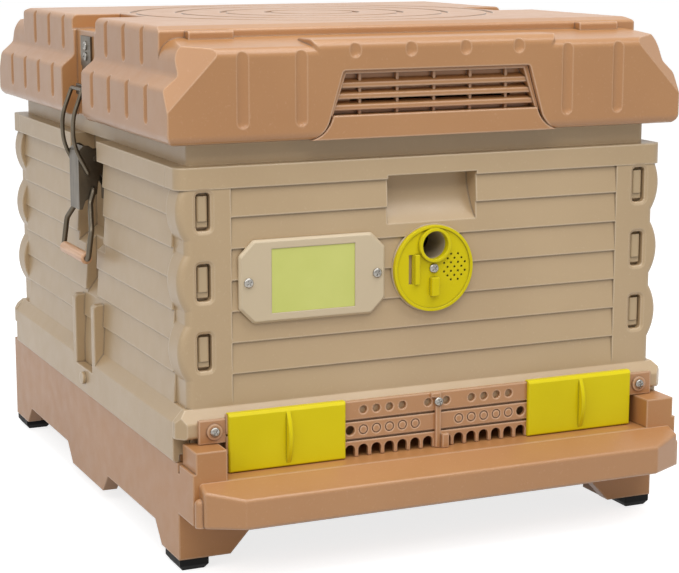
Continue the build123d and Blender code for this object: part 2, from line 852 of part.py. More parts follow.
def tag_label():
    return front_block(tag_x - label_w / 2, tag_x + label_w / 2, tag_t - label_sink,
                       tag_t - label_sink + label_t, tag_z - label_h / 2, tag_z + label_h / 2)


def tag_screw_places():
    return [(tag_x + side * tag_screw_span / 2, front_y(tag_t), tag_z, (0, -1)) for side in (-1, 1)]


# Entrance strip: three bars on a web, with arches for the bees and a screw tab at each end
strip_top = strip_low + bar_low + bar_mid + bar_high + 2 * bar_gap
tab_low = strip_top - tab_drop - tab_h
tab_face = strip_t + tab_rise
arch_x = [arch_first + arch_pitch * i for i in range(arch_count)]


def strip_part(x0, x1, out0, out1, z0, z1):
    return block(x0, x1, -strip_y - out1, -strip_y - out0, z0, z1)


def strip_hole(x, z, radius, out0, out1):
    return rod((x, -strip_y - out0, z), (x, -strip_y - out1, z), radius)


def entrance_strip():
    reach = strip_half - tab_w
    strip = strip_part(-reach, reach, 0, strip_web, strip_low + arch_h, strip_top)
    level = strip_low
    middles = []
    for height in (bar_low, bar_mid, bar_high):
        strip += strip_part(-reach, reach, 0, strip_t, level, level + height)
        middles.append(level + height / 2)
        level += height + bar_gap
    for x in arch_x:
        for side in (-1, 1):
            wide = arch_w / 2
            crown = strip_low + arch_h - wide
            strip -= strip_part(side * x - wide, side * x + wide, -over, strip_t + over,
                                strip_low - over, crown)
            strip -= strip_hole(side * x, crown, wide, -over, strip_t + over)
            if x not in (arch_x[1], arch_x[-1]):
                strip -= strip_hole(side * x, middles[2], hole_r, -over, strip_t + over)
    for x in arch_x[1:-1]:
        for side in (-1, 1):
            ring = strip_hole(side * x, middles[1], ring_r, strip_t - ring_sink, strip_t + over)
            middle = strip_hole(side * x, middles[1], ring_r - ring_line, strip_t - ring_sink, strip_t + over)
            strip -= ring - middle
    boss_z = tab_low + tab_h / 2
    tab = strip_part(strip_half - tab_w, strip_half, 0, tab_t, tab_low, tab_low + tab_h)
    tab += strip_hole(tab_screw, boss_z, screw_head_r + tab_boss, 0, tab_face)
    for side in (-1, 1):
        strip -= strip_hole(side * arch_x[-1], middles[1], ring_r, -over, strip_t + over)
        strip += tab if side > 0 else flip_x(tab)
    for place in strip_screw_places():
        strip -= screw_hole(*place)
    return strip


def centre_post():
    face = strip_t + post_t
    post = strip_part(-post_half, post_half, strip_t, face, strip_low, strip_top)
    post += strip_part(-post_head, post_half, strip_t, face, strip_top - post_head_h, strip_top)
    post += strip_part(post_half, post_step, strip_t, strip_t + post_step_t,
                       strip_low, strip_low + post_step_h)
    return post - screw_hole(*strip_screw_places()[0])


def strip_screw_places():
    places = [(0, -strip_y - strip_t - post_t, strip_top - bar_high / 2, (0, -1))]
    for side in (-1, 1):
        places.append((side * tab_screw, -strip_y - tab_face, tab_low + tab_h / 2, (0, -1)))
    return places


def right_gate():
    back = strip_t + gate_gap
    front = back + gate_t
    low = strip_low + gate_gap
    top = strip_top + gate_gap + gate_lip_t
    y = -strip_y - front
    plate_points = [(-strip_y - back, low), (y, low), (y, top - gate_slope), (y + gate_slope, top),
                    (-strip_y - gate_lip_back, top), (-strip_y - gate_lip_back, top - gate_lip_t),
                    (-strip_y - back, top - gate_lip_t)]
    gate = along_x(plate_points, gate_in, gate_in + gate_w)
    gate = chamfer(gate.faces().sort_by(Axis.Y)[0].edges().sort_by(Axis.Z)[:-1], gate_bevel)
    middle = gate_in + gate_w / 2
    foot, head = low + gate_rib_foot, top - gate_rib_head
    arc = ThreePointArc((middle, y, foot), (middle, y - gate_rib_bow, (foot + head) / 2), (middle, y, head))
    rib = make_face(Curve() + [arc, Line((middle, y, head), (middle, y, foot))])
    return gate + extrude(rib, amount=gate_rib_w / 2, dir=(1, 0, 0), both=True)


# Stand with its legs, sill, posts, screen ledges and tray runners
screen_z = landing - screen_t
tray_z = screen_z - tray_drop - tray_h
runner_x = liner_x - 2 * ledge
tray_half = liner_x - tray_play


def leg_gap_y(y0, y1):
    high = foot_h + arch_rise
    low = foot_h - over
    return along_x([(y0, low), (y0 + arch_slant, high), (y1 - arch_slant, high), (y1, low)],
                   -stand_x - over, stand_x + over)


def stand():
    outer = stand_x
    inner = outer - stand_wall
    lip = half_w + skirt_inset - stand_lip_gap
    step_z = stand_top - stand_step
    deck_z = stand_top - deck_t
    frame = block(-outer, outer, -stand_front, stand_rear, foot_h, step_z)
    frame += block(-lip, lip, -stand_front + stand_lip_in, stand_rear, step_z, stand_top)
    frame -= block(-inner, inner, -stand_front + stand_wall, stand_rear - stand_wall, 0, deck_z)
    frame -= block(-liner_x, liner_x, -liner_y, liner_y, 0, stand_top + over)
    centre = (stand_rear - stand_front) / 2
    frame -= leg_gap_y(-stand_front + leg_w, centre - mid_leg / 2)
    frame -= leg_gap_y(centre + mid_leg / 2, stand_rear - leg_w)
    high = foot_h + arch_rise
    gap_x = outer - leg_w
    low = foot_h - over
    frame -= along_y([(-gap_x, low), (-gap_x + arch_slant, high), (gap_x - arch_slant, high), (gap_x, low)],
                     -stand_front - over, stand_rear + over)
    for x in (-outer, outer - leg_w):
        for y in (-stand_front, stand_rear - leg_w):
            frame += block(x, x + leg_w, y, y + leg_w, foot_h, foot_h + arch_rise)
    sill_y = -stand_front - sill_d
    frame += block(-outer, outer, sill_y, -stand_front, landing - board_t - board_fall, landing)
    frame -= block(-entrance_half, entrance_half, sill_y, -liner_y, landing, stand_top + over)
    frame += block(-entrance_half, entrance_half, -stand_front, -liner_y, landing - deck_t, landing)
    for side in (-1, 1):
        post = sorted((side * entrance_half, side * (outer - post_in)))
        frame += block(post[0], post[1], sill_y, front_y(post_gap), landing, stand_top + post_rise)
        cheek = sorted((side * entrance_half, side * outer))
        frame += block(cheek[0], cheek[1], sill_y, front_y(post_gap), landing, step_z)
        wall = sorted((side * liner_x, side * (liner_x + liner)))
        frame += block(wall[0], wall[1], -liner_y, liner_y, tray_z - ledge, deck_z)
        shelf = sorted((side * (liner_x - ledge), side * liner_x))
        frame += block(shelf[0], shelf[1], -liner_y, liner_y, screen_z - ledge, screen_z)
        runner = sorted((side * runner_x, side * liner_x))
        frame += block(runner[0], runner[1], -liner_y, stand_rear - stand_wall, tray_z - ledge, tray_z - seam)
    slot_half = tray_half + tray_play / 2
    return frame - block(-slot_half, slot_half, liner_y - over, stand_rear + over,
                         tray_z - seam, tray_z + tray_h + tray_play)


def landing_board():
    back = stand_front + sill_d
    front = back + board_d
    low = landing - board_t - board_fall
    profile = [(-back, low), (-front, low), (-front, low + board_t), (-back, landing)]
    reach = board_half - board_corner_x
    plan = both_sides([(board_half, -back), (board_half, -front + board_corner_y), (reach, -front)])
    board = along_x(profile, -board_half - over, board_half + over) & along_z(plan, low, landing)
    board = fillet(board.edges().filter_by(lambda edge: edge.center().Y < -back - over), board_edge)
    hollow = [(-back - over, low - over), (-front + board_wall, low - over),
              (-front + board_wall, low + board_t - board_wall), (-back - over, landing - board_wall)]
    board -= along_x(hollow, -reach, reach)
    for side in (-1, 1):
        x, y = side * (stand_x - lug_r), -back - lug_r
        board += rod((x, y, low), (x, y, low + lug_rise), lug_r) + Pos(x, y, low + lug_rise) * Sphere(lug_r)
    return board


def rubber_feet():
    feet = []
    for x in (-1, 1):
        for y in (-stand_front + foot_inset + foot_l / 2, stand_rear - foot_inset - foot_l / 2):
            middle = x * (stand_x - foot_inset - foot_w / 2)
            lower = Pos(middle, y, 0) * Rectangle(foot_w - 2 * foot_taper, foot_l - 2 * foot_taper)
            upper = Pos(middle, y, foot_h - foot_collar) * Rectangle(foot_w, foot_l)
            collar = block(middle - foot_w / 2, middle + foot_w / 2, y - foot_l / 2, y + foot_l / 2,
                           foot_h - foot_collar, foot_h)
            feet.append(loft([lower, upper]) + collar)
    return feet


def floor_screen():
    reach_x = liner_x - screen_play
    reach_y = liner_y - screen_play
    plate = block(-reach_x, reach_x, -reach_y, reach_y, screen_z, landing)
    pitch_x = 2 * (reach_x - ledge - screen_side) / screen_nx
    pitch_y = 2 * (reach_y - screen_end) / screen_ny
    holes = []
    for i in range(screen_nx):
        for j in range(screen_ny):
            x = (i + 0.5 - screen_nx / 2) * pitch_x
            y = (j + 0.5 - screen_ny / 2) * pitch_y
            hole = Box(pitch_x - screen_bar, pitch_y - screen_bar, screen_t + 2 * over)
            holes.append(Pos(x, y, landing - screen_t / 2) * hole)
    return plate - Compound(holes)


def bottom_tray():
    top = tray_z + tray_h
    front = -liner_y + tray_front
    tray = block(-tray_half, tray_half, front, stand_rear, tray_z, top)
    return tray - block(-tray_half + tray_wall, tray_half - tray_wall, front + tray_wall,
                        stand_rear - tray_handle, tray_z + tray_wall, top + over)


# Top feeder: its band shows between the rim and the lid
def feeder():
    inner_x = neck_x - feeder_inset
    inner_y = neck_y - feeder_inset
    tray = block(-neck_x, neck_x, -neck_y, neck_y, rim_top, rim_top + neck_h)
    tray = fillet(tray.edges().filter_by(Axis.Z), neck_round)
    tray += block(-inner_x, inner_x, -inner_y, inner_y, rim_top, rim_top + feeder_h)
    room_x, room_y = inner_x - feeder_wall, inner_y - feeder_wall
    tray -= block(-room_x, room_x, -room_y, room_y, rim_top + feeder_wall, rim_top + feeder_h + over)
    half_x, half_y = chimney_w / 2, chimney_l / 2
    tray += block(-half_x, half_x, -half_y, half_y, rim_top, rim_top + chimney_h)
    bore_x, bore_y = half_x - chimney_wall, half_y - chimney_wall
    return tray - block(-bore_x, bore_x, -bore_y, bore_y, rim_top - over, rim_top + chimney_h + over)


def feeder_cap():
    reach_x = chimney_w / 2 + cap_play
    reach_y = chimney_l / 2 + cap_play
    top = rim_top + chimney_h
    cap = block(-reach_x, reach_x, -reach_y, reach_y, rim_top + feeder_wall + cap_gap, top + cap_wall)
    return cap - block(-reach_x + cap_wall, reach_x - cap_wall, -reach_y + cap_wall, reach_y - cap_wall,
                       rim_top, top)


# Lid: two-tier sides, parapets at the front and rear, a raised deck and a notch for each latch
def both_sides(points):
    return points + [(-a, b) for a, b in reversed(points)]


def lid_form(inset):
    low = lid_low - (over if inset else 0)
    drop = inset * lid_drop
    x0, x1 = lid_x - inset, tier_x - inset
    z0, z1 = lid_low + lower_tier - drop, lid_low + lower_tier + shoulder - drop
    y0, y1 = lid_y - inset, deck_half + deck_slope - inset
    front_top = parapet_top - inset
    ridge = front_top + valley_rise
    top = deck_top - inset
    radii = [0 if inset else lid_round, tier_edge, tier_edge, parapet_round - inset]
    form = along_y(both_sides([(x0, low), (x0, z0), (x1, z1), (x1, ridge)]), -lid_y - past, lid_y + past,
                   radii + radii[::-1])
    radii = [0 if inset else end_round, end_round - inset, 0]
    form &= along_x(both_sides([(y0, low), (y0, front_top), (y1, ridge)]), -lid_x - past, lid_x + past,
                    radii + radii[::-1])
    radii = [0, deck_round - inset]
    deck = along_y(both_sides([(x1, z1), (x1, top)]), -lid_y, lid_y, radii + radii[::-1])
    radii = [0, deck_edge, deck_edge]
    form += deck & along_x(both_sides([(y1, z1), (y1, ridge + deck_riser), (y1 - deck_slope, top)]),
                           -lid_x, lid_x, radii + radii[::-1])
    for corner in corner_facets(inset):
        form -= corner
    return form


def corner_facets(inset):
    foot = Vector(lid_x - facet_foot, -lid_y, parapet_top - facet_z)
    front = Vector(lid_x - facet_x, -lid_y, parapet_top)
    side = Vector(tier_x, -lid_y + facet_y, parapet_top)
    normal = (front - foot).cross(side - foot).normalized()
    if normal.Z < 0:
        normal = normal * -1
    cutter = Pos(0, 0, facet_blank / 2) * Box(facet_blank, facet_blank, facet_blank)
    cutter = Plane(origin=foot - normal * inset, z_dir=normal) * cutter
    return [cutter, flip_x(cutter), flip_y(cutter), half_turn(cutter)]


def valley_pads():
    back = -deck_half - deck_slope
    low, top = parapet_top, parapet_top + pad_h
    pad = along_x([(back - pad_d, low), (back - pad_d, top), (back + over, top), (back + over, low)],
                  pad_in, pad_out, [0, pad_edge, 0, 0])
    return [pad, flip_x(pad), flip_y(pad), half_turn(pad)]


def latch_notch(grow):
    half = notch_w / 2 + grow
    return block(-lid_x - over, -notch_x + grow, -half, half, lid_low - 2 * over, deck_top + over)


def latch_saddle(grow):
    half = notch_w / 2 + saddle_side + grow
    low = deck_top - saddle_h - grow
    return block(-lid_x - over, -notch_x + saddle_d + grow, -half, half, low, deck_top + over)


# Hollow grooves with round feet, each a chord of a rod
def groove_r(width, depth):
    return ((width / 2) ** 2 + depth ** 2) / (2 * depth)


def groove(x, y, foot, top, radius):
    return rod((x, y, foot), (x, y, top), radius) + Pos(x, y, foot) * Sphere(radius)


def side_groove(face, y, low, top):
    radius = groove_r(side_groove_w, side_groove_d)
    return groove(face + side_groove_d - radius, y, low + side_groove_w / 2, top, radius)


def end_groove(x, low, top):
    radius = groove_r(end_groove_w, end_groove_d)
    return groove(x, -lid_y + end_groove_d - radius, low + end_groove_w / 2, top, radius)


def side_grooves():
    cuts = []
    low = lid_low + side_groove_low
    high = lid_low + lower_tier + shoulder + side_groove_high
    for side in (-1, 1):
        for i in range(upper_grooves):
            y = side * (side_groove_first + i * side_groove_pitch)
            cuts.append(side_groove(-tier_x, y, high, deck_top + over))
        for i in range(lower_grooves):
            y = side * (side_groove_first - side_groove_shift + i * side_groove_pitch)
            cuts.append(side_groove(-lid_x, y, low, lid_low + lower_tier + side_groove_over))
    return cuts


def end_grooves(full):
    cuts = []
    low, top = lid_low + end_groove_low, parapet_top + over
    for side in (-1, 1):
        for i in range(end_groove_count):
            cuts.append(end_groove(side * (end_groove_first + i * end_groove_pitch), low, top))
            if full:
                cuts.append(end_groove(side * end_groove_pitch * (i + 0.5), low, top))
    return cuts


def hood():
    y0, y1 = -lid_y, -lid_y + hood_d
    low, top = lid_low + vent_top + hood_low, parapet_top + hood_h
    form = along_x([(y0, low), (y0, top), (y1, top), (y1, low)], -hood_half, hood_half,
                   [0, hood_front, hood_back, 0])
    plan = [(-hood_half, y0), (hood_half, y0), (hood_half, y1), (-hood_half, y1)]
    return form & along_z(plan, low, top, [hood_end, hood_end, 0, 0])


def vent_form(gap, y0, y1):
    lean = (vent_half_low - vent_half_top) / (vent_top - vent_low)
    foot = vent_half_low + lean * vent_low - gap
    flare_r = vent_flare + gap
    right = [(foot + 2 * flare_r, lid_low - over), (foot + 2 * flare_r, lid_low), (foot, lid_low),
             (vent_half_top - gap, lid_low + vent_top - gap)]
    radii = [0, 0, flare_r, vent_edge]
    return along_y(both_sides(right), y0, y1, radii + radii[::-1])


def lid_shell():
    shell = lid_form(0)
    for piece in (latch_saddle(0), flip_x(latch_saddle(0))):
        shell -= piece
    shell += hood()
    for pad in valley_pads():
        shell += pad
    hollow = lid_form(lid_wall)
    for grown in (latch_notch(lid_wall), latch_saddle(lid_wall)):
        hollow -= grown
        hollow -= flip_x(grown)
    shell -= hollow
    shell -= latch_notch(0)
    shell -= flip_x(latch_notch(0))
    grooves = side_grooves()
    shell -= Compound(grooves + [flip_x(cut) for cut in grooves])
    shell -= Compound(end_grooves(False))
    shell -= Compound([flip_y(cut) for cut in end_grooves(True)])
    hood_top = parapet_top + hood_h
    for i in range(end_groove_count):
        cut = end_groove(end_groove_pitch * (i + 0.5), hood_top - hood_groove_h, hood_top + over)
        shell -= cut
        shell -= flip_x(cut)
    rings = []
    for i in range(1, ring_count + 1):
        ring = Cylinder(i * ring_step + ring_w / 2, 2 * ring_d)
        ring -= Cylinder(i * ring_step - ring_w / 2, 2 * ring_d + over)
        rings.append(Pos(0, 0, deck_top) * ring)
    shell -= Compound(rings)
    for place in catch_screw_places():
        shell -= screw_hole(*place)
        shell -= flip_x(screw_hole(*place))
    return shell - vent_form(0, -lid_y - past, -lid_y + lid_wall + over)


def vent_opening(gap, z0, z1):
    return both_sides([(vent_half_low - gap, z0), (vent_half_top - gap, z1)])


def vent_grille():
    z0 = lid_low + vent_low
    z1 = lid_low + vent_top
    back = -lid_y + vent_sink + vent_back
    frame_pts = vent_opening(seam, z0, z1 - seam)
    grille = along_y(frame_pts, -lid_y + lid_wall + seam, back)
    grille -= along_y(vent_opening(vent_frame, z0 + vent_sill, z1 - vent_head), -lid_y, back + over)
    grille += along_y(frame_pts, back, back + vent_plate) - vent_duct()
    pitch = (z1 - z0 - vent_sill) / (louvre_count + 1)
    tall, fall = louvre_t / 2, louvre_fall / 2
    for i in range(1, louvre_count + 1):
        z = z0 + i * pitch
        slat = [(back - louvre_d, z - tall - fall), (back - louvre_d, z + tall - fall),
                (back, z + tall + fall), (back, z - tall + fall)]
        grille += along_x(slat, -vent_half_low, vent_half_low) & along_y(frame_pts, -lid_y, back)
    for i in range(mullion_count):
        x = (i - (mullion_count - 1) / 2) * mullion_pitch
        grille += block(x - mullion_t / 2, x + mullion_t / 2, back - mullion_d, back, z0, z1 - seam)
    reach = vent_half_low - 2 * apron_gap
    face = -lid_y + apron_sink
    apron = vent_form(apron_gap, face, -lid_y + lid_wall)
    edge = reach + vent_flare
    grille += apron & block(-edge, edge, face - over, back, lid_low + apron_lift, z0 + apron_t / 2)
    return grille + block(-reach, reach, face, back, z0 - apron_t / 2, z0 + apron_t / 2)


def lid_lining():
    x0 = neck_x - feeder_inset + lining_play
    y0 = neck_y - feeder_inset + lining_play
    top = rim_top + feeder_h + 2 * lining_play
    tub = block(-x0 - lining_t, x0 + lining_t, -y0 - lining_t, y0 + lining_t, lid_low, top + lining_t)
    rim_x, rim_y = lid_x - lid_wall - seam, lid_y - lid_wall - seam
    flange = lid_low + lining_t
    tub += block(-neck_x, neck_x, -neck_y, neck_y, lid_low, flange)
    tub += block(-rim_x, rim_x, -rim_y, rim_y, flange, flange + lining_t)
    tub -= block(-x0, x0, -y0, y0, lid_low - over, top)
    for grown in (latch_notch(lid_wall + seam), vent_room()):
        tub -= grown
    tub -= flip_x(latch_notch(lid_wall + seam))
    return tub - vent_duct()


def vent_room():
    reach = vent_half_low + vent_flare + room_side
    back = -lid_y + vent_sink + vent_back + vent_plate + seam
    return block(-reach, reach, -lid_y, back, lid_low - 2 * over, lid_low + vent_top + over)


def vent_duct():
    reach = vent_half_top - duct_in
    low = lid_low + vent_low + duct_rise
    return block(-reach, reach, -lid_y + over, -neck_y + feeder_inset + feeder_wall, low, low + duct_h)


def lid_insulation():
    slab = lid_form(lid_wall + seam)
    for grown in (latch_notch(lid_wall + seam), latch_saddle(lid_wall + seam)):
        slab -= grown
        slab -= flip_x(grown)
    x0 = neck_x - feeder_inset + lining_play + lining_t
    y0 = neck_y - feeder_inset + lining_play + lining_t
    top = rim_top + feeder_h + 2 * lining_play + lining_t
    slab -= block(-x0, x0, -y0, y0, 0, top)
    slab -= block(-lid_x, lid_x, -lid_y, lid_y, 0, lid_low + 2 * lining_t)
    slab -= vent_room()
    for place in catch_screw_places():
        slab -= screw_hole(*place)
        slab -= flip_x(screw_hole(*place))
    return slab - vent_duct()


# Catch on the lid's notch: a screwed plate whose claw stands behind the loop's crossbar
def left_catch():
    face = -notch_x
    foot = lid_low + catch_rise
    claw_out = loop_hook_out - wire_r - hook_gap
    bar_z = rim_top + loop_hook_rise
    plate = block(face - catch_t, face, -catch_w / 2, catch_w / 2, foot, foot + catch_h)
    arm_w = catch_w / 2 - arm_in
    plate += block(face - catch_t, face, -arm_w, arm_w, bar_z - arm_drop, foot)
    tip, back = left_x(claw_out), left_x(claw_out - claw_t)
    low, top = bar_z - claw_drop, bar_z + claw_rise
    claw = [(tip, low), (tip, top), (back, top), (back, low + claw_t), (face, low + claw_t), (face, low)]
    plate += along_y(claw, -arm_w, arm_w)
    for place in catch_screw_places():
        plate -= screw_hole(*place)
    return plate


def catch_screw_places():
    foot = lid_low + catch_rise
    head = -notch_x - catch_t
    return [(head, 0, z, (-1, 0)) for z in (foot + catch_edge, foot + catch_h - catch_edge)]


# Latch on a side panel: bracket and pivot, lever, wire loop, and the bail with its wooden grip
pivot_z = rim_top - pivot_drop
cheek = bracket_w / 2
wall_in = cheek + lever_gap
wall_out = wall_in + lever_t
leg_y = wall_out + wire_gap + wire_bend
bail_y = wall_out + wire_gap + bail_turn
lever_top = rim_top - lever_top_drop
lever_tip = rim_top - lever_tip_drop
loop_pin_z = rim_top - loop_pin_drop
bail_pin_z = rim_top - bail_pin_drop


def left_bracket():
    back = -channel_d
    low = rim_top - bail_pin_drop - bracket_drop
    top = pivot_z + bracket_rise
    wing = cheek + bracket_wing
    plate = left_block(back, back + bracket_t, -wing, wing, low, top)
    side = [(back, low + cheek_r), (pivot_out, pivot_z - cheek_r), (pivot_out + cheek_r, pivot_z),
            (pivot_out, pivot_z + cheek_r), (back, top)]
    ear = left_prism(side, cheek - bracket_t, cheek)
    plate += ear + flip_y(ear)
    x, end = left_x(pivot_out), cheek + over
    return plate - rod((x, -end, pivot_z), (x, end, pivot_z), pivot_r + pivot_seat)


def left_pivot():
    end = wall_out + pivot_end
    return rod((left_x(pivot_out), -end, pivot_z), (left_x(pivot_out), end, pivot_z), pivot_r)


def left_lever():
    brow = lever_top - lever_brow
    heel = pivot_out - lever_heel
    wall = [(lever_out, brow), (lever_out - lever_brow, lever_top), (lever_out - 2 * lever_brow, lever_top),
            (heel, pivot_z + lever_heel_rise), (heel, pivot_z - lever_heel_drop),
            (bail_pin_out - lever_seat, bail_pin_z + lever_seat_rise),
            (bail_pin_out - lever_seat_rise, bail_pin_z - lever_seat),
            (lever_out - lever_nose_w, lever_tip + lever_nose), (lever_out - lever_nose_end, lever_tip),
            (lever_out, lever_tip)]
    side = left_prism(wall, wall_in, wall_out)
    lever = side + flip_y(side)
    thin = lever_t * tan(radians(22.5))
    slant = lever_t / sqrt(2)
    web = [(lever_out, lever_tip), (lever_out, brow), (lever_out - lever_brow, lever_top),
           (lever_out - lever_brow - slant, lever_top - slant), (lever_out - lever_t, brow - thin),
           (lever_out - lever_t, lever_tip)]
    lever += left_prism(web, -wall_out, wall_out)
    for out, z, radius in ((pivot_out, pivot_z, pivot_r), (loop_pin_out, loop_pin_z, wire_r),
                           (bail_pin_out, bail_pin_z, bail_r)):
        end = wall_out + over
        lever -= rod((left_x(out), -end, z), (left_x(out), end, z), radius + running_gap)
    return lever


def left_loop():
    hook_z = rim_top + loop_hook_rise
    bow_z = (loop_pin_z + hook_z) / 2
    one = [(left_x(loop_pin_out), wall_in + wire_end, loop_pin_z), (left_x(loop_pin_out), leg_y, loop_pin_z),
           (left_x(loop_bow), leg_y, bow_z - loop_bow_drop), (left_x(loop_bow), leg_y, bow_z + loop_bow_rise),
           (left_x(loop_hook_out), leg_y, hook_z)]
    two = [(x, -y, z) for x, y, z in reversed(one)]
    bends = [wire_bend, loop_bend, loop_bend, wire_bend]
    return wire(one + two, bends * 2, wire_r)


def left_bail():
    grip_z = rim_top - bail_grip_drop
    grip_half = grip_l / 2
    one = [(left_x(bail_pin_out), wall_in + wire_end, bail_pin_z), (left_x(bail_pin_out), bail_y, bail_pin_z),
           (left_x(bail_pin_out + bail_lean), bail_y, bail_pin_z - bail_drop),
           (left_x(bail_grip_out - bail_lean), grip_half + grip_end, bail_pin_z - bail_drop - bail_flare),
           (left_x(bail_grip_out), grip_half + grip_end, grip_z)]
    two = [(x, -y, z) for x, y, z in reversed(one)]
    bends = [bail_turn, bail_bend, bail_bend, bail_turn]
    return wire(one + two, bends + bends[::-1], bail_r)


def left_grip():
    grip_z = rim_top - bail_grip_drop
    x = left_x(bail_grip_out)
    grip = rod((x, -grip_l / 2, grip_z), (x, grip_l / 2, grip_z), grip_r)
    grip = fillet(grip.edges(), grip_round)
    return grip - rod((x, -grip_l, grip_z), (x, grip_l, grip_z), bail_r + running_gap)


# Every piece to its own file
save("stand", stand())
save("landing_board", landing_board())
save("rubber_feet", *rubber_feet())
save("floor_screen", floor_screen())
save("bottom_tray", bottom_tray())

front = end_panel(True)
save("front_panel", front)
save("rear_panel", flip_y(end_panel(False)))
left = left_panel()
save("left_panel", left)
save("right_panel", flip_x(left))
save("corner_clips", *corner_clips())
save("left_liner", side_liner())
save("right_liner", flip_x(side_liner()))
save("front_liner", end_liner(True))
save("rear_liner", flip_y(end_liner(False)))
save("side_insulation", side_insulation(), flip_x(side_insulation()))
save("end_insulation", end_insulation(True), flip_y(end_insulation(False)))
save("frame_rests", frame_rest(), flip_y(frame_rest()))
for number in range(frame_count):
    save(f"frame_{number + 1:02d}", frame_at((number - (frame_count - 1) / 2) * frame_pitch))

save("entrance_disc", entrance_disc())
save("disc_screw", disc_screw())
save("disc_tube", disc_tube())
save("tag_plate", tag_plate())
save("tag_label", tag_label())
save("tag_screws", *[screw(*place) for place in tag_screw_places()])
save("entrance_strip", entrance_strip())
save("centre_post", centre_post())
save("strip_screws", *[screw(*place) for place in strip_screw_places()])
save("right_gate", right_gate())
save("left_gate", flip_x(right_gate()))

save("feeder", feeder())
save("feeder_cap", feeder_cap())
save("lid_shell", lid_shell())
save("lid_insulation", lid_insulation())
save("lid_lining", lid_lining())
save("vent_grille", vent_grille())
save("left_catch", left_catch())
save("right_catch", flip_x(left_catch()))
catch_screws = [screw(*place) for place in catch_screw_places()]
save("catch_screws", *catch_screws, *[flip_x(piece) for piece in catch_screws])

for name, piece in (("bracket", left_bracket()), ("pivot", left_pivot()), ("lever", left_lever()),
                    ("loop", left_loop()), ("bail", left_bail()), ("grip", left_grip())):
    save(f"left_{name}", piece)
    save(f"right_{name}", flip_x(piece))
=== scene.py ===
import json
import math

import bpy
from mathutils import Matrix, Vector


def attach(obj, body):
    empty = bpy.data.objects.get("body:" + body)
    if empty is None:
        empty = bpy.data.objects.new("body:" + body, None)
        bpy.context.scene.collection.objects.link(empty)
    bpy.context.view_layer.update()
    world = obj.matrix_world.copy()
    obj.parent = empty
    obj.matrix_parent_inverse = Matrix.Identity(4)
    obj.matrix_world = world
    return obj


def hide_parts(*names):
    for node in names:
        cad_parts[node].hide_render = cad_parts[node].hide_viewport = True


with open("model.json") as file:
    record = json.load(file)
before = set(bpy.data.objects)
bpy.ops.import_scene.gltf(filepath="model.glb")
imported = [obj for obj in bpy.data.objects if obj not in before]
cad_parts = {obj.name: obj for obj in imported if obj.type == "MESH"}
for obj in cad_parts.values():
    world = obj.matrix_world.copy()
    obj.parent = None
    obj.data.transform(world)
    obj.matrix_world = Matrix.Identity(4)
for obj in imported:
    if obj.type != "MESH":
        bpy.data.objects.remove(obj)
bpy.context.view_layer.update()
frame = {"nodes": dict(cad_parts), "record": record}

print("hive loaded:", len(frame["nodes"]), "nodes")

# finishes: every colour is linear, every length in metres, every noise a scale and a detail
shading = {"bevelSamples": 6, "nearSamples": 8}


def newMaterial(name):
    material = bpy.data.materials.new(name)
    material.use_nodes = True
    tree = material.node_tree
    tree.nodes.clear()
    output = tree.nodes.new("ShaderNodeOutputMaterial")
    shader = tree.nodes.new("ShaderNodeBsdfPrincipled")
    tree.links.new(shader.outputs["BSDF"], output.inputs["Surface"])
    return material, tree, shader


def addNoise(tree, scale, detail, stretch=None):
    coords = tree.nodes.new("ShaderNodeTexCoord")
    noise = tree.nodes.new("ShaderNodeTexNoise")
    noise.inputs["Scale"].default_value = scale
    noise.inputs["Detail"].default_value = detail
    if stretch is None:
        tree.links.new(coords.outputs["Object"], noise.inputs["Vector"])
    else:
        mapping = tree.nodes.new("ShaderNodeMapping")
        mapping.inputs["Scale"].default_value = stretch
        tree.links.new(coords.outputs["Object"], mapping.inputs["Vector"])
        tree.links.new(mapping.outputs["Vector"], noise.inputs["Vector"])
    return noise.outputs["Fac"]


def addRange(tree, value, span, result=(0.0, 1.0)):
    node = tree.nodes.new("ShaderNodeMapRange")
    for name, number in zip(("From Min", "From Max", "To Min", "To Max"), (*span, *result)):
        node.inputs[name].default_value = number
    tree.links.new(value, node.inputs["Value"])
    return node.outputs["Result"]


def addMix(tree, amount, first, second):
    node = tree.nodes.new("ShaderNodeMix")
    node.data_type = "RGBA"
    tree.links.new(amount, node.inputs["Factor"])
    for socket, value in ((node.inputs["A"], first), (node.inputs["B"], second)):
        if isinstance(value, tuple):
            socket.default_value = (*value, 1.0)
        else:
            tree.links.new(value, socket)
    return node.outputs["Result"]


def softEdges(tree, radius):
    bevel = tree.nodes.new("ShaderNodeBevel")
    bevel.samples = shading["bevelSamples"]
    bevel.inputs["Radius"].default_value = radius
    return bevel.outputs["Normal"]


def addBump(tree, height, strength, depth, normal):
    bump = tree.nodes.new("ShaderNodeBump")
    bump.inputs["Strength"].default_value = strength
    bump.inputs["Distance"].default_value = depth
    tree.links.new(height, bump.inputs["Height"])
    tree.links.new(normal, bump.inputs["Normal"])
    return bump.outputs["Normal"]


